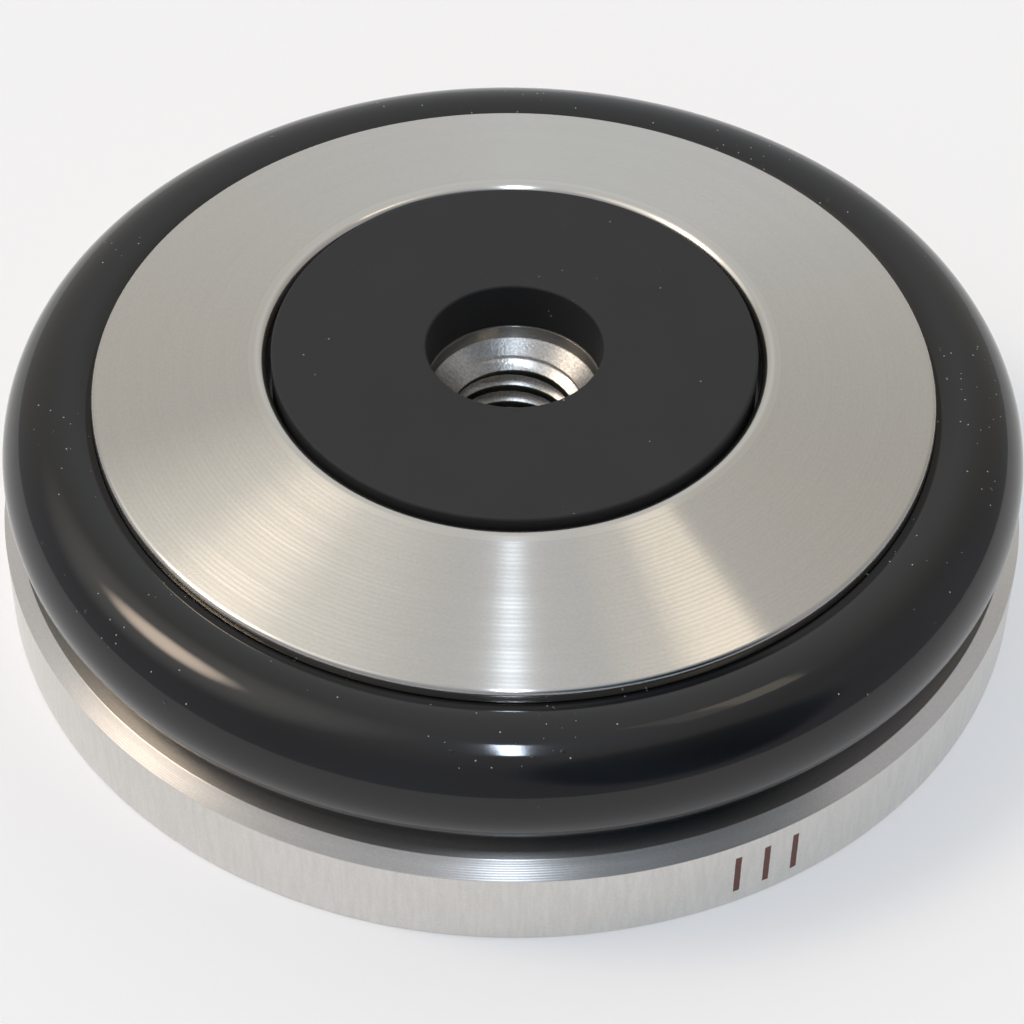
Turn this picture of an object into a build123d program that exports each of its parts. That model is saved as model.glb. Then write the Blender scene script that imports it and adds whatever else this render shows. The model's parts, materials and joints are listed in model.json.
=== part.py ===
from build123d import *
import os
from math import radians, sqrt, tan

# A round steel pressing foot with a shallow cone on top: an O-ring lies in the groove between its land
# and its flange, and a flat pad lies in the recess at the top of the cone, around a tapped hole for a
# handle's stud. Millimetres, +Z up. The origin is on the axis, at the underside that presses.

# ---- Steel foot: overall sizes ----
FOOT_D = 57.0               # across the land, the foot's widest part
LAND_H = 4.65               # plain cylinder above the underside
LAND_CHAMFER = 0.8          # 45 degree chamfer from the land up to the ledge
FACE_BREAK = 0.15           # break of the underside's edge
CONE_ANGLE = 12.5           # fall of the cone's flank, degrees below level
FLANGE_EDGE_H = 0.7         # upright edge of the flange, above the groove
FLANGE_LIP = 1.95           # how far the flange stands out over the groove's root
FLANGE_ROUND = 0.3          # round where the cone meets the flange's edge
EDGE_BREAK = 0.05           # break of the flange's lower corner

# ---- O-ring ----
RING_SECTION_D = 7.0        # thickness of the rubber
RING_SETBACK = 0.35         # the ring's outside stands this far inside the land
RING_ROOT_CLEARANCE = 0.05  # between the ring's inside and the groove's root
RING_LIP_CLEARANCE = 0.02   # between the ring and the flange's lower corner
GROOVE_FILLET = 0.3         # round at the foot of the groove's root

# ---- Pad and its recess ----
PAD_D = 26.4                # across the pad
PAD_T = 2.95                # thickness of the pad
PAD_BREAK = 0.15            # break of the pad's edges
PAD_CLEARANCE = 0.25        # all round, between the pad and the wall of its recess
PAD_RISE = 0.25             # the pad's top stands this far above the crest of the steel rim
RIM_ROUND = 0.55            # round of the steel rim, between the cone's flank and the recess

# ---- Tapped hole for the handle's stud, M8 x 1.25 ----
TAP_DRILL_D = 6.8           # wall of the hole before its thread is cut
STUD_SHOULDER_D = 9.5       # counterbore that takes the stud's shoulder
SHOULDER_DEPTH = 0.8        # depth of the counterbore below the recess's floor
PAD_BORE_CLEARANCE = 0.05   # the pad's hole is wider than the counterbore by this, all round
HOLE_FLOOR = 2.0            # steel left under the tip of the drilled hole
DRILL_POINT = 118.0         # included angle of the drill's tip, degrees

# ---- Worked-out places: r is from the axis, z is from the underside ----
foot_r = FOOT_D / 2
ledge_z = LAND_H + LAND_CHAMFER
ring_section_r = RING_SECTION_D / 2
ring_r = foot_r - RING_SETBACK - ring_section_r
ring_z = ledge_z + ring_section_r
root_r = ring_r - ring_section_r - RING_ROOT_CLEARANCE
flange_r = root_r + FLANGE_LIP
ring_reach = ring_section_r + RING_LIP_CLEARANCE
flange_low_z = ring_z + sqrt(ring_reach**2 - (ring_r - flange_r) ** 2)
flange_top_z = flange_low_z + FLANGE_EDGE_H

pad_r = PAD_D / 2
recess_r = pad_r + PAD_CLEARANCE
rim_corner_z = flange_top_z + (flange_r - recess_r) * tan(radians(CONE_ANGLE))
rim_crest_z = rim_corner_z - RIM_ROUND * (tan(radians(90 + CONE_ANGLE) / 2) - 1)
pad_top_z = rim_crest_z + PAD_RISE
recess_z = pad_top_z - PAD_T

hole_r = TAP_DRILL_D / 2
shoulder_r = STUD_SHOULDER_D / 2
pad_bore_r = shoulder_r + PAD_BORE_CLEARANCE
shoulder_z = recess_z - SHOULDER_DEPTH
thread_top_z = shoulder_z - (shoulder_r - hole_r)
drill_end_z = HOLE_FLOOR + hole_r / tan(radians(DRILL_POINT / 2))


def turned(outline, breaks):
    """Turn an outline of (r, z) points about the Z axis. breaks maps a point to the radius of its round."""
    face = make_face(Polyline(*[(r, 0, z) for r, z in outline], close=True))
    for (r, z), radius in breaks.items():
        corner = face.vertices().sort_by_distance((r, 0, z))[0]
        face = fillet(corner, radius)
    return revolve(face, Axis.Z, 360)


def steel_foot():
    """Land, ledge, groove, flange, cone, recess and tapped hole, all turned from one bar."""
    flange_low = (flange_r, flange_low_z)
    flange_top = (flange_r, flange_top_z)
    groove_foot = (root_r, ledge_z)
    rim_corner = (recess_r, rim_corner_z)
    outline = [
        (0, 0),
        (foot_r - FACE_BREAK, 0),
        (foot_r, FACE_BREAK),
        (foot_r, LAND_H),
        (foot_r - LAND_CHAMFER, ledge_z),
        groove_foot,
        (root_r, flange_low_z),
        flange_low,
        flange_top,
        rim_corner,
        (recess_r, recess_z),
        (shoulder_r, recess_z),
        (shoulder_r, shoulder_z),
        (hole_r, thread_top_z),
        (hole_r, drill_end_z),
        (0, HOLE_FLOOR),
    ]
    breaks = {
        groove_foot: GROOVE_FILLET,
        flange_low: EDGE_BREAK,
        flange_top: FLANGE_ROUND,
        rim_corner: RIM_ROUND,
    }
    return turned(outline, breaks)


def o_ring():
    """A plain rubber torus that rests on the ledge, under the flange's lip."""
    return Pos(0, 0, ring_z) * Torus(ring_r, ring_section_r)


def centre_pad():
    """A flat washer-shaped pad that lies loose in the recess, its hole round the stud's shoulder."""
    low_in, low_out = (pad_bore_r, recess_z), (pad_r, recess_z)
    top_out, top_in = (pad_r, pad_top_z), (pad_bore_r, pad_top_z)
    corners = [low_in, low_out, top_out, top_in]
    return turned(corners, {corner: PAD_BREAK for corner in corners})


os.makedirs("parts", exist_ok=True)
for node in (steel_foot, o_ring, centre_pad):
    solid = node()
    solid.label = node.__name__
    export_step(solid, f"parts/{node.__name__}.step")
    box = solid.bounding_box()
    print(f"{node.__name__}: {solid.volume:.1f} mm3, z {box.min.Z:.3f} to {box.max.Z:.3f}, d {box.size.X:.3f}")
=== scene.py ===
import json
from math import cos, pi, radians, sin, sqrt, tan

import bpy
import numpy as np
from mathutils import Matrix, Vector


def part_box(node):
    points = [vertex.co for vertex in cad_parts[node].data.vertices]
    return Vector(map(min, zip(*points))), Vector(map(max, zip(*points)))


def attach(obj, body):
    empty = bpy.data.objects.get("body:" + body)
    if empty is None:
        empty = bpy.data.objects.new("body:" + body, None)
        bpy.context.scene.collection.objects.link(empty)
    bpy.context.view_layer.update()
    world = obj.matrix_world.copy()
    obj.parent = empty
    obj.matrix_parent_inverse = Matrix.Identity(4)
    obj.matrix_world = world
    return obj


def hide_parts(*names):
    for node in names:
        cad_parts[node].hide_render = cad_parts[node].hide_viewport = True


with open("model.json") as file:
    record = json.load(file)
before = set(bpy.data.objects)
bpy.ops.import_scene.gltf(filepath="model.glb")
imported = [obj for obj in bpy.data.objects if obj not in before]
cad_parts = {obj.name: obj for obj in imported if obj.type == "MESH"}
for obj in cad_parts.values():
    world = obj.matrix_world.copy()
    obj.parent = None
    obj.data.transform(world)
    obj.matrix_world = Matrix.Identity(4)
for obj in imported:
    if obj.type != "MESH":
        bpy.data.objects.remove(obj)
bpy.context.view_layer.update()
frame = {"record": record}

# ---------------------------------------------------------------------------------------------------------
# Steel foot. One piece turned from a bar of stainless steel: land, chamfer and ledge, the groove for the
# O-ring, the flange, the shallow cone with its tool marks left on, and a polished rim round the recess.
# The middle is drilled and tapped M8 x 1.25, with a counterbore and a countersink above the thread.
# ---------------------------------------------------------------------------------------------------------

MM = 0.001  # sizes below are in millimetres, as on the drawing; meshes are in metres


def box_mm(node):
    """Lowest and highest corner of a node of the frame, in millimetres."""
    low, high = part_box(node)
    return np.array(low) / MM, np.array(high) / MM


foot_high = box_mm("steel_foot")[1]
ring_low, ring_high = box_mm("o_ring")
pad_low, pad_high = box_mm("centre_pad")
mounts = {mount["name"]: mount for mount in frame["record"]["mounts"]}
thread_mount = mounts["handle_thread"]

foot_r = foot_high[0]
ledge_z = ring_low[2]
ring_section_r = (ring_high[2] - ring_low[2]) / 2
ring_r = ring_high[0] - ring_section_r
ring_z = ledge_z + ring_section_r
pad_r, recess_z, pad_top_z = pad_high[0], pad_low[2], pad_high[2]

LAND_CHAMFER = 0.8
FLANGE_R = 23.05
FLANGE_EDGE_H = 0.7
FLANGE_ROUND = 0.3
CONE_FALL = tan(radians(12.5))
RECESS_GAP = 0.25
RIM_ROUND = 0.55
FACE_BREAK = 0.15
LAND_BREAK = 0.06
EDGE_BREAK = 0.05
COUNTERBORE_BREAK = 0.02
GROOVE_FILLET = 0.3
LIP_FILLET = 0.1
RECESS_FILLET = 0.15
RING_ROOT_CLEARANCE = 0.05
RING_LIP_CLEARANCE = 0.02
RIM_POLISHED_R = 14.44
COUNTERBORE_H = 0.8
COUNTERBORE_R = mounts["stud_shoulder"]["dims"]["r_mm"]
HOLE_FLOOR = 2.0
FOOT_COLUMNS = 240

land_h = ledge_z - LAND_CHAMFER
root_r = ring_r - ring_section_r - RING_ROOT_CLEARANCE
lip_reach = ring_section_r + RING_LIP_CLEARANCE
flange_low_z = ring_z + sqrt(lip_reach**2 - (ring_r - FLANGE_R) ** 2)
flange_top_z = flange_low_z + FLANGE_EDGE_H
recess_r = pad_r + RECESS_GAP
rim_corner_z = flange_top_z + (FLANGE_R - recess_r) * CONE_FALL
rim_mark_z = flange_top_z + (FLANGE_R - RIM_POLISHED_R) * CONE_FALL
counterbore_z = recess_z - COUNTERBORE_H
hole_r = thread_mount["dims"]["r_mm"]
hole_middle_z = thread_mount["pos_m"][2] / MM
thread_top_z = hole_middle_z + thread_mount["dims"]["length_mm"] / 2
drill_end_z = hole_middle_z - thread_mount["dims"]["length_mm"] / 2


def rounded(corners, steps=8, hold=0.03):
    """An outline through corners (r, z, radius). A corner is cut by an arc that touches both of its sides
    radius * tan(turn / 2) away from it. Its points are centre + (sin((1 - s) turn) a + sin(s turn) b) /
    sin(turn), where a and b lead from the centre to the arc's ends. One point is held just outside each
    end, so that the flats beside it shade flat."""
    points = [corners[0][:2]]
    for before, corner, after in zip(corners, corners[1:], corners[2:]):
        here, radius = np.array(corner[:2]), corner[2]
        back, on = (np.array(other[:2]) - here for other in (before, after))
        back, on = back / np.linalg.norm(back), on / np.linalg.norm(on)
        turn = pi - np.arccos(np.clip(back @ on, -1, 1))
        if radius == 0:
            points.append(tuple(here))
            continue
        reach = radius * tan(turn / 2)
        centre = here + (back + on) / np.linalg.norm(back + on) * radius / cos(turn / 2)
        start, end = here + back * reach - centre, here + on * reach - centre
        share = np.linspace(0, 1, steps + 1)[:, None]
        arc = centre + (np.sin((1 - share) * turn) * start + np.sin(share * turn) * end) / sin(turn)
        points += [tuple(arc[0] + back * hold), *map(tuple, arc), tuple(arc[-1] + on * hold)]
    return np.array(points + [corners[-1][:2]])


def turned(name, r, z, closed=False):
    """A surface turned about Z from r and z, grids of one row per point of the outline and one column per
    angle: vertex = (r cos a, r sin a, z). An open outline starts and ends on the axis, where its first and
    last rows are one point each. A closed outline joins its last row to its first."""
    rows, columns = r.shape
    angle = np.linspace(0, 2 * pi, columns, endpoint=False)
    grid = np.stack([r * np.cos(angle), r * np.sin(angle), z], axis=-1) * MM
    if closed:
        vertices = grid.reshape(-1, 3)
        index = np.arange(rows * columns).reshape(rows, columns)
        index = np.concatenate([index, index[:1]])
    else:
        vertices = np.concatenate([grid[0, :1], grid[1:-1].reshape(-1, 3), grid[-1, :1]])
        index = 1 + np.arange((rows - 2) * columns).reshape(rows - 2, columns)
    beside = np.roll(index, -1, axis=1)
    quads = np.stack([index[:-1], beside[:-1], beside[1:], index[1:]], axis=-1).reshape(-1, 4)
    faces = quads.tolist()
    if not closed:
        first = np.stack([0 * index[0], beside[0], index[0]], axis=-1)
        last = np.stack([index[-1], beside[-1], 0 * index[-1] + len(vertices) - 1], axis=-1)
        faces = first.tolist() + faces + last.tolist()
    mesh = bpy.data.meshes.new(name)
    mesh.from_pydata(vertices.tolist(), [], faces)
    mesh.shade_smooth()
    piece = bpy.data.objects.new(name, mesh)
    bpy.context.scene.collection.objects.link(piece)
    return piece


outside = rounded(
    [
        (0, 0, 0),
        (foot_r, 0, FACE_BREAK),
        (foot_r, land_h, LAND_BREAK),
        (foot_r - LAND_CHAMFER, ledge_z, LAND_BREAK),
        (root_r, ledge_z, GROOVE_FILLET),
        (root_r, flange_low_z, LIP_FILLET),
        (FLANGE_R, flange_low_z, EDGE_BREAK),
        (FLANGE_R, flange_top_z, FLANGE_ROUND),
        (RIM_POLISHED_R, rim_mark_z, 0),
        (recess_r, rim_corner_z, RIM_ROUND),
        (recess_r, recess_z, RECESS_FILLET),
        (COUNTERBORE_R, recess_z, COUNTERBORE_BREAK),
        (COUNTERBORE_R, counterbore_z, 0),
    ]
)

PITCH = 1.25
THREAD_ROOT_R = 4.0
THREAD_FLAT = PITCH / 8
FLANK_ANGLE = radians(30)
THREAD_START = 0.78
THREAD_ROWS = 160
THREAD_RUN_OUT = 1.2

angle = np.linspace(0, 2 * pi, FOOT_COLUMNS, endpoint=False)[None, :]
tapped_z = np.linspace(counterbore_z, drill_end_z, THREAD_ROWS)[1:, None]


def tapped_wall(z, angle):
    """Radius of the tapped hole. A right-hand thread's groove lies at height THREAD_START + pitch *
    angle / (2 pi), plus whole pitches. Its root is a flat an eighth of the pitch wide, and each flank falls
    1 / tan(30 degrees) for each millimetre away from the root, down to the drilled wall. It runs out above
    the drill's point. The countersink above is a 45 degree cone. Where two cut, the wider is the wall."""
    phase = ((z - THREAD_START) / PITCH - angle / (2 * pi)) % 1
    away = np.abs(phase - 0.5) * PITCH
    run_out = np.clip((z - drill_end_z) / THREAD_RUN_OUT - 0.3, 0, 1)
    root = hole_r + (THREAD_ROOT_R - hole_r) * run_out
    groove = root - np.clip(away - THREAD_FLAT / 2, 0, None) / tan(FLANK_ANGLE)
    countersink = hole_r + np.clip(z - thread_top_z, 0, None)
    return np.maximum(np.maximum(groove, hole_r), countersink)


around = np.ones((1, FOOT_COLUMNS))
drill_tip = np.array([[0.0, HOLE_FLOOR]])
foot_r_grid = np.concatenate(
    [outside[:, :1] * around, tapped_wall(tapped_z, angle), drill_tip[:, :1] * around]
)
foot_z_grid = np.concatenate([outside[:, 1:] * around, tapped_z * around, drill_tip[:, 1:] * around])
foot = turned("steel_foot_turned", foot_r_grid, foot_z_grid)


class Wire:
    """The output of a node. + - * / and ** between wires and numbers add Math nodes."""

    def __init__(self, tree, socket=None):
        self.tree, self.socket = tree, socket

    def make(self, kind, settings=None, sockets=None, out=0):
        """Adds a node, makes its settings, then gives its sockets values or links. Returns an output."""
        node = self.tree.nodes.new("ShaderNode" + kind)
        for name, value in (settings or {}).items():
            setattr(node, name, value)
        for name, value in (sockets or {}).items():
            if isinstance(value, Wire):
                self.tree.links.new(value.socket, node.inputs[name])
            else:
                node.inputs[name].default_value = value
        return Wire(self.tree, node.outputs[out])

    def math(self, operation, *others):
        """A Math node with this wire in its first socket and the others in the next ones."""
        return self.make("Math", {"operation": operation}, dict(enumerate((self, *others))))

    def __add__(self, other):
        return self.math("ADD", other)

    def __sub__(self, other):
        return self.math("SUBTRACT", other)

    def __mul__(self, other):
        return self.math("MULTIPLY", other)

    def __truediv__(self, other):
        return self.math("DIVIDE", other)

    def __pow__(self, other):
        return self.math("POWER", other)

    __radd__, __rmul__ = __add__, __mul__

    def __rsub__(self, other):
        return self.make("Math", {"operation": "SUBTRACT"}, {0: other, 1: self})

    def __rtruediv__(self, other):
        return self.make("Math", {"operation": "DIVIDE"}, {0: other, 1: self})

    def step(self, low, high):
        """0 below low, 1 above high, smooth between."""
        sockets = {"Value": self, "From Min": low, "From Max": high}
        return self.make("MapRange", {"interpolation_type": "SMOOTHSTEP"}, sockets)

    def noise(self, vector, scale, detail=2.0, roughness=0.5):
        """Noise from 0 to 1 over a vector in millimetres; scale is in waves per millimetre."""
        sockets = {"Vector": vector, "Scale": scale, "Detail": detail, "Roughness": roughness}
        return self.make("TexNoise", {}, sockets)

    def blend(self, low, high):
        """The mix of two colours, each a wire or three numbers, at this wire's value from 0 to 1."""
        low, high = (end if isinstance(end, Wire) else (*end, 1) for end in (low, high))
        return self.make("Mix", {"data_type": "RGBA"}, {"Factor": self, 6: low, 7: high}, out=2)


def finish(name, **constant):
    """A new material with one Principled shader and constant values on its sockets. Returns the material,
    the shader's node and a Wire to make nodes with."""
    material = bpy.data.materials.new(name)
    material.use_nodes = True
    shader = material.node_tree.nodes["Principled BSDF"]
    for socket, value in constant.items():
        shader.inputs[socket.replace("_", " ")].default_value = value
    return material, shader, Wire(material.node_tree)


def places(wire):
    """The place on the piece in millimetres as a vector, its x, y and z, and its distance from the axis."""
    metres = wire.make("TexCoord", out="Object")
    place = wire.make("VectorMath", {"operation": "SCALE"}, {0: metres, "Scale": 1 / MM})
    x, y, z = (wire.make("SeparateXYZ", {}, {0: place}, out=axis) for axis in "XYZ")
    return place, x, y, z, (x * x + y * y) ** 0.5


def turned_steel(name, roughness, anisotropy, feed, feed_mark, fine_mark, dark, light):
    """Steel as the tool left it. The tool's feed cuts a groove every feed millimetres along the outline,
    feed_mark deep. Between them are finer scratches, fine_mark deep, that fade in and out round the axis."""
    material, shader, wire = finish(
        name, Metallic=1.0, Anisotropic=anisotropy, Anisotropic_Rotation=0.25, Roughness=roughness
    )
    place, x, y, z, r = places(wire)
    along = r - z
    scratch = wire.make("CombineXYZ", {}, {"X": along * 12.0, "Y": x / r * 0.8, "Z": y / r * 0.8})
    fine = wire.noise(scratch, 1.0, detail=3.0, roughness=0.6)
    band = wire.noise(wire.make("CombineXYZ", {}, {"X": along, "Y": x / r * 0.3, "Z": y / r * 0.3}), 1.3)
    grain = wire.noise(place, 7.0, detail=2.0)
    feed_line = ((along + band * (0.6 * feed)) * (2 * pi / feed)).math("SINE") * band
    height = fine * fine_mark + feed_line * feed_mark
    bump = wire.make("Bump", {}, {"Strength": 1.0, "Distance": MM, "Height": height})
    shade = (fine * 0.3 + band * 0.15 + grain * 0.55).step(0.2, 0.8)
    tree = material.node_tree
    tree.links.new(shade.blend(dark, light).socket, shader.inputs["Base Color"])
    tree.links.new((roughness * (0.85 + 0.3 * band)).socket, shader.inputs["Roughness"])
    tree.links.new(bump.socket, shader.inputs["Normal"])
    return material


CREST_DEPTH = 0.05


def drilled_steel():
    """Bright steel in the hole, torn by the countersink and the tap, so its marks are uneven. The thread's
    crests, which are the parts within CREST_DEPTH of the drilled radius, are painted dark: partly a film of
    cutting oil, partly painted shade for the shadowed gaps between the turns."""
    material, shader, wire = finish(
        "drilled_steel", Metallic=1.0, Anisotropic=0.9, Anisotropic_Rotation=0.25, Roughness=0.33
    )
    place, x, y, z, r = places(wire)
    torn = wire.noise(place, 7.0, detail=3.0, roughness=0.65)
    marks = wire.noise(wire.make("CombineXYZ", {}, {"X": (r + z) * 9.0, "Y": x / r, "Z": y / r}), 1.0)
    # Painted shade and oil: the crests are darkened for the shadowed gaps between the turns and for a film of
    # cutting oil.
    oil_and_painted_shade = 1 - (r - hole_r + 0.04 * torn).step(CREST_DEPTH, 2 * CREST_DEPTH)
    bump = wire.make("Bump", {}, {"Strength": 1.0, "Distance": MM, "Height": torn * 0.016 + marks * 0.004})
    steel = torn.step(0.3, 0.7).blend((0.70, 0.68, 0.64), (0.97, 0.95, 0.91))
    tree = material.node_tree
    tree.links.new(oil_and_painted_shade.blend(steel, (0.07, 0.075, 0.06)).socket, shader.inputs["Base Color"])
    tree.links.new((0.25 + 0.16 * torn).socket, shader.inputs["Roughness"])
    tree.links.new(bump.socket, shader.inputs["Normal"])
    return material


MARK_AZIMUTH = 28
MARK_Z = 2.3
MARK_H = 2.7
STROKE_W = 0.34
STROKE_APART = 1.7


def land_steel():
    """Satin ground steel. Faint streaks stand upright on it, and an index mark of three upright strokes is
    etched brown into it. The strokes lie at 0 and +-STROKE_APART along the tangent at MARK_AZIMUTH."""
    material, shader, wire = finish(
        "land_steel", Metallic=1.0, Anisotropic=0.5, Anisotropic_Rotation=0.25, Roughness=0.36
    )
    place, x, y, z, r = places(wire)
    stretched = wire.make("VectorMath", {"operation": "MULTIPLY"}, {0: place, 1: (1.0, 1.0, 0.14)})
    streak = wire.noise(stretched, 3.2, detail=3.0, roughness=0.6)
    grain = wire.noise(place, 8.0, detail=2.0)
    turn = radians(MARK_AZIMUTH)
    across = x * cos(turn) + y * sin(turn)
    outwards = x * sin(turn) - y * cos(turn)
    ragged = grain * 0.08
    from_stroke = (across - (across / STROKE_APART).math("ROUND") * STROKE_APART).math("ABSOLUTE")
    etched = (
        from_stroke.math("LESS_THAN", STROKE_W / 2 - 0.03 + ragged)
        * across.math("ABSOLUTE").math("LESS_THAN", STROKE_APART * 1.5)
        * (z - MARK_Z).math("ABSOLUTE").math("LESS_THAN", MARK_H / 2 - 0.03 + ragged)
        * outwards.math("GREATER_THAN", 0.0)
    )
    shade = (streak * 0.6 + grain * 0.4).step(0.25, 0.75)
    plain = shade.blend((0.655, 0.64, 0.61), (0.77, 0.755, 0.725))
    brown = grain.blend((0.11, 0.045, 0.035), (0.22, 0.10, 0.08))
    height = streak * 0.0012 + grain * 0.0006 - etched * 0.01
    bump = wire.make("Bump", {}, {"Strength": 1.0, "Distance": MM, "Height": height})
    tree = material.node_tree
    tree.links.new(etched.blend(plain, brown).socket, shader.inputs["Base Color"])
    tree.links.new((0.33 + 0.08 * streak + 0.25 * etched).socket, shader.inputs["Roughness"])
    tree.links.new((1 - 0.8 * etched).socket, shader.inputs["Metallic"])
    tree.links.new(bump.socket, shader.inputs["Normal"])
    return material


STEEL_DARK, STEEL_LIGHT, STEEL_BRIGHT = (0.595, 0.575, 0.54), (0.655, 0.635, 0.595), (0.76, 0.745, 0.715)
# Painted shade: the ledge under the O-ring, the recess round the pad and the counterbore wall take a darker
# copy of the same steel, for the shade that falls in these hollows.
PAINTED_SHADE_DARK, PAINTED_SHADE_LIGHT = (0.36, 0.35, 0.33), (0.44, 0.425, 0.40)
finishes = {
    "cone": turned_steel("turned_cone", 0.15, 1.0, 0.31, 0.0010, 0.0003, STEEL_DARK, STEEL_LIGHT),
    "rim": turned_steel("polished_rim", 0.16, 0.9, 0.31, 0.0001, 0.0001, STEEL_LIGHT, STEEL_LIGHT),
    "chamfer": turned_steel("turned_chamfer", 0.30, 1.0, 0.18, 0.004, 0.002, STEEL_LIGHT, STEEL_BRIGHT),
    "ledge": turned_steel("turned_ledge", 0.42, 1.0, 0.25, 0.001, 0.001, PAINTED_SHADE_DARK, PAINTED_SHADE_LIGHT),
    "groove": turned_steel("turned_groove", 0.15, 0.6, 0.25, 0.0003, 0.0003, STEEL_DARK, STEEL_LIGHT),
    "recess": turned_steel("turned_recess", 0.50, 0.4, 0.12, 0.003, 0.001, PAINTED_SHADE_DARK, PAINTED_SHADE_LIGHT),
    "bore": turned_steel("turned_bore", 0.28, 1.0, 0.12, 0.002, 0.002, PAINTED_SHADE_DARK, PAINTED_SHADE_LIGHT),
    "land": land_steel(),
    "drilled": drilled_steel(),
}
for material in finishes.values():
    foot.data.materials.append(material)

middle_r = (foot_r_grid[1:, 0] + foot_r_grid[:-1, 0]) / 2
middle_z = (foot_z_grid[1:, 0] + foot_z_grid[:-1, 0]) / 2
outside_row = np.arange(len(middle_r)) < len(outside) - 1
finish_order = ("drilled", "land", "chamfer", "ledge", "cone", "rim", "bore", "recess")
finish_of_row = np.select(
    [
        ~outside_row & (middle_z < counterbore_z),
        outside_row & (middle_z < land_h),
        outside_row & (middle_z < ledge_z) & (middle_r > root_r + 1),
        outside_row & (middle_z < ledge_z + 0.2) & (middle_r > root_r),
        outside_row & (middle_z > flange_top_z - 0.25) & (middle_r > RIM_POLISHED_R),
        outside_row & (middle_z > rim_corner_z - 2 * RIM_ROUND) & (middle_r < RIM_POLISHED_R),
        outside_row & (middle_z > recess_z - COUNTERBORE_H) & (middle_r < COUNTERBORE_R + 0.02),
        outside_row & (middle_z > recess_z - COUNTERBORE_H) & (middle_r < RIM_POLISHED_R),
    ],
    [list(finishes).index(name) for name in finish_order],
    default=list(finishes).index("groove"),
)
foot.data.polygons.foreach_set("material_index", np.repeat(finish_of_row, FOOT_COLUMNS).astype(np.int32))

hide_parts("steel_foot")
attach(foot, "foot")

# ---------------------------------------------------------------------------------------------------------
# O-ring. A moulded ring of black rubber, 7 mm thick, that lies on the ledge under the flange's lip. The
# two halves of its mould met on a line 45 degrees below the widest part, and a little flash is left there.
# ---------------------------------------------------------------------------------------------------------

RING_COLUMNS = 360
FLASH_AT = radians(-45)
FLASH_HEIGHT = 0.035
FLASH_WIDTH = radians(0.9)

ring_angle = np.linspace(0, 2 * pi, RING_COLUMNS, endpoint=False)[None, :]
close_rows = FLASH_AT + FLASH_WIDTH * np.linspace(-2.5, 2.5, 11)
even_rows = np.linspace(-pi, pi, 72, endpoint=False)
even_rows = even_rows[np.abs(even_rows - FLASH_AT) > 3.5 * FLASH_WIDTH]
section_angle = np.sort(np.concatenate([even_rows, close_rows]))[:, None]


def ring_radius(section_angle, ring_angle):
    """Radius of the rubber's section: round, and raised at the mould's line by height * exp(-(distance /
    width) ** 2), uneven round the ring as a sum of three waves."""
    uneven = 0.5 + 0.2 * np.sin(17 * ring_angle) + 0.2 * np.sin(43 * ring_angle + 1) * np.sin(5 * ring_angle)
    uneven = uneven + 0.15 * np.sin(89 * ring_angle + 2)
    ridge = np.exp(-(((section_angle - FLASH_AT) / FLASH_WIDTH) ** 2))
    return ring_section_r + FLASH_HEIGHT * uneven * ridge


section = ring_radius(section_angle, ring_angle)
ring = turned(
    "o_ring_moulded",
    ring_r + section * np.cos(section_angle),
    ring_z + section * np.sin(section_angle),
    closed=True,
)


def dust(wire, place, per_mm, size, crowd):
    """Specks over a piece: 1 in the middle of about half of the cells of a Voronoi pattern with per_mm
    cells per millimetre, and 0 outside them. size is the largest speck's radius in cells. crowd, from 0
    to 1, thins the specks out."""
    sockets = {"Vector": place, "Scale": per_mm}
    away = wire.make("TexVoronoi", {}, sockets, out="Distance")
    chance = wire.make("SeparateColor", {}, {0: wire.make("TexVoronoi", {}, sockets, out="Color")})
    return (1 - (away / (size * chance)).step(0.6, 1.0)) * crowd.math("GREATER_THAN", 1 - chance)


def black_rubber():
    """Smooth moulded rubber, a little wavy, with tiny pimples and with pale dust caught on it."""
    material, shader, wire = finish("black_rubber", Specular_IOR_Level=0.5)
    place, x, y, z, r = places(wire)
    wave = wire.noise(place, 0.4, detail=2.0)
    skin = wire.noise(place, 10.0, detail=2.0)
    upwards = (z - ring_z).step(0.3 * ring_section_r, 0.9 * ring_section_r)
    crowd = wire.noise(place, 0.13, detail=2.0).step(0.42, 0.72) * (0.12 + 0.88 * upwards)
    specks = dust(wire, place, 2.6, 0.15, crowd * 0.75)
    pimples = dust(wire, place, 1.1, 0.14, crowd * 0.3)
    height = wave * 0.006 + skin * 0.0003 + specks * 0.01 + pimples * 0.02
    bump = wire.make("Bump", {}, {"Strength": 1.0, "Distance": MM, "Height": height})
    tree = material.node_tree
    tree.links.new(specks.blend((0.010, 0.010, 0.0105), (0.4, 0.4, 0.39)).socket, shader.inputs["Base Color"])
    tree.links.new((0.05 + 0.05 * wave + 0.4 * specks).socket, shader.inputs["Roughness"])
    tree.links.new(bump.socket, shader.inputs["Normal"])
    return material


ring.data.materials.append(black_rubber())
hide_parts("o_ring")
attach(ring, "foot")

# ---------------------------------------------------------------------------------------------------------
# Centre pad. A flat ring of dark matt plastic, turned from sheet, loose in its recess. The handle's
# ferrule presses on it, so it stands a little above the steel rim. Its edges are broken.
# ---------------------------------------------------------------------------------------------------------

PAD_BREAK = 0.15
PAD_BORE_CLEARANCE = 0.05
PAD_COLUMNS = 240

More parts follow.
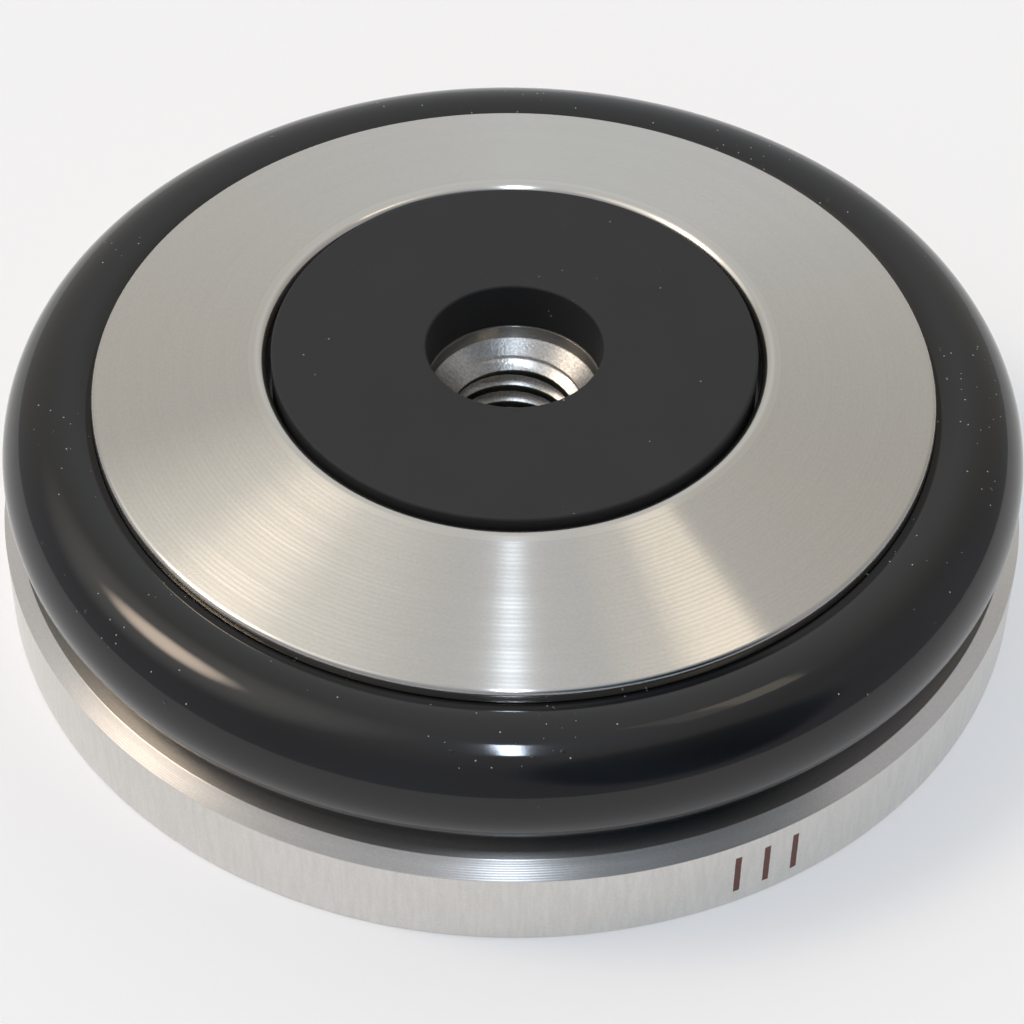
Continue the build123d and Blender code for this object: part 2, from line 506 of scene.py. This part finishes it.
bore_r = COUNTERBORE_R + PAD_BORE_CLEARANCE
half_way = (bore_r + pad_r) / 2
pad_outline = rounded(
    [
        (half_way, recess_z, 0),
        (pad_r, recess_z, PAD_BREAK),
        (pad_r, pad_top_z, PAD_BREAK),
        (bore_r, pad_top_z, PAD_BREAK),
        (bore_r, recess_z, PAD_BREAK),
        (half_way, recess_z, 0),
    ],
    steps=6,
)[:-1]
pad_around = np.ones((1, PAD_COLUMNS))
pad_r_grid, pad_z_grid = pad_outline[:, :1] * pad_around, pad_outline[:, 1:] * pad_around
pad = turned("centre_pad_turned", pad_r_grid, pad_z_grid, closed=True)


def matt_plastic():
    """Dark plastic with a fine matt grain, faint clouds and a few specks of dust."""
    material, shader, wire = finish("matt_plastic", Specular_IOR_Level=0.35)
    place, x, y, z, r = places(wire)
    grain = wire.noise(place, 6.0, detail=3.0, roughness=0.6)
    cloud = wire.noise(place, 0.3, detail=2.0)
    specks = dust(wire, place, 1.5, 0.10, cloud.step(0.3, 0.8) * 0.4)
    height = grain * 0.004 + specks * 0.01
    bump = wire.make("Bump", {}, {"Strength": 1.0, "Distance": MM, "Height": height})
    tone = (grain * 0.6 + cloud * 0.4).step(0.2, 0.8)
    plain = tone.blend((0.0195, 0.0198, 0.0205), (0.0255, 0.0258, 0.0265))
    tree = material.node_tree
    tree.links.new(specks.blend(plain, (0.3, 0.3, 0.3)).socket, shader.inputs["Base Color"])
    tree.links.new((0.6 + 0.12 * grain).socket, shader.inputs["Roughness"])
    tree.links.new(bump.socket, shader.inputs["Normal"])
    return material


pad.data.materials.append(matt_plastic())
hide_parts("centre_pad")
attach(pad, "pad")

# ---------------------------------------------------------------------------------------------------------
# Studio. A plain pale table, a narrow strip lamp over the object and two lamps high at the back right. The
# room is a soft glow with smooth lobes of light and shade, and its window at the left is the brightest.
# ---------------------------------------------------------------------------------------------------------

FLOOR_HALF = 2.5  # metres
FLOOR_DROP = 0.00002  # below the foot's underside, so that the two faces don't coincide
floor_mesh = bpy.data.meshes.new("floor")
corners = np.array([(-1, -1), (1, -1), (1, 1), (-1, 1)]) * FLOOR_HALF
floor_mesh.from_pydata([(x, y, -FLOOR_DROP) for x, y in corners.tolist()], [], [(0, 1, 2, 3)])
floor = bpy.data.objects.new("floor", floor_mesh)
bpy.context.scene.collection.objects.link(floor)
floor_paint = finish(
    "floor_paint",
    Base_Color=(0.7, 0.7, 0.7, 1),
    Roughness=0.8,
    Specular_IOR_Level=0.2,
    Emission_Color=(1, 1, 1, 1),
    Emission_Strength=0.27,
)[0]
floor_mesh.materials.append(floor_paint)


def direction(azimuth, elevation):
    """Unit vector towards a place: azimuth 0 is the front (-Y), 90 the right (+X); both in degrees."""
    a, e = radians(azimuth), radians(elevation)
    return np.array([cos(e) * sin(a), -cos(e) * cos(a), sin(e)])


def lamp(name, azimuth, elevation, width, height, radiance, colour):
    """A flat lamp LAMP_FAR away that faces the object. width and height are the degrees that it fills,
    and its power is pi * area * radiance."""
    data = bpy.data.lights.new(name, "AREA")
    data.shape = "RECTANGLE"
    data.size = 2 * LAMP_FAR * tan(radians(width / 2))
    data.size_y = 2 * LAMP_FAR * tan(radians(height / 2))
    data.energy = pi * data.size * data.size_y * radiance
    data.color = colour
    item = bpy.data.objects.new(name, data)
    towards = direction(azimuth, elevation)
    across = np.cross([0, 0, 1], towards)
    across = across / np.linalg.norm(across)
    turn = np.stack([across, np.cross(towards, across), towards], axis=1)
    item.matrix_world = Matrix.Translation(towards * LAMP_FAR) @ Matrix(turn.tolist()).to_4x4()
    bpy.context.scene.collection.objects.link(item)


LAMP_FAR = 1.5
lamp("strip_lamp", 1.0, 78.5, 2.6, 17, 47, (0.72, 0.84, 1.0))
lamp("high_lamp", 131, 66.8, 12, 6.5, 1.35, (1.0, 0.86, 0.66))
lamp("high_lamp_haze", 131, 72.8, 12, 5.5, 0.4, (1.0, 0.86, 0.66))

ROOM = (0.58, 0.64, 0.76)
# Each lobe's azimuth, elevation, edge and core in degrees, and what it adds to the room's radiance.
ROOM_LOBES = [
    (-100, 15, 84, 0, (-0.13, -0.19, -0.28)),  # left
    (0, 20, 72, 0, (-0.17, -0.21, -0.27)),  # front
    (40, 30, 66, 0, (-0.06, -0.08, -0.10)),  # front right
    (100, 20, 72, 0, (-0.22, -0.28, -0.38)),  # right
    (180, 20, 72, 0, (0.14, 0.10, 0.0)),  # back
    (0, 90, 53, 0, (0.09, 0.06, 0.0)),  # overhead
    (38, 35, 32, 22, (-0.32, -0.28, -0.27)),  # a dark patch at the front right
    (82, 26, 35, 12, (0.09, 0.10, 0.13)),  # a pale patch at the right
    (-102, 53, 12, 0, (10.5, 8.4, 6.6)),  # window
    (-102, 53, 32, 0, (0.82, 0.80, 0.72)),  # haze round the window
]
world = bpy.data.worlds.new("room")
bpy.context.scene.world = world
world.use_nodes = True
room = Wire(world.node_tree)
sight = room.make("TexCoord", out="Generated")
light = ROOM
for azimuth, elevation, edge, core, radiance in ROOM_LOBES:
    toward = {0: sight, 1: direction(azimuth, elevation)}
    near = room.make("VectorMath", {"operation": "DOT_PRODUCT"}, toward, out="Value")
    share = near.step(cos(radians(edge)), cos(radians(core)))
    light = room.make("VectorMath", {"operation": "MULTIPLY_ADD"}, {0: share, 1: radiance, 2: light})
background = world.node_tree.nodes["Background"]
world.node_tree.links.new(light.socket, background.inputs["Color"])

CAMERA_FAR = 0.180  # metres from the middle of the underside
CAMERA_ELEVATION = 46.06  # degrees, as the next two are
AIM_UP, ROLL = 0.47, 0.92
camera_data = bpy.data.cameras.new("camera")
camera_data.lens = 109.9
camera_data.sensor_width = 36
camera_data.clip_start = 0.005
camera = bpy.data.objects.new("camera", camera_data)
tilt = Matrix.Rotation(radians(90 - CAMERA_ELEVATION + AIM_UP), 4, "X")
roll = Matrix.Rotation(radians(ROLL), 4, "Z")
camera.matrix_world = Matrix.Translation(direction(0, CAMERA_ELEVATION) * CAMERA_FAR) @ tilt @ roll
bpy.context.scene.collection.objects.link(camera)
bpy.context.scene.camera = camera
bpy.context.scene.view_settings.view_transform = "Standard"
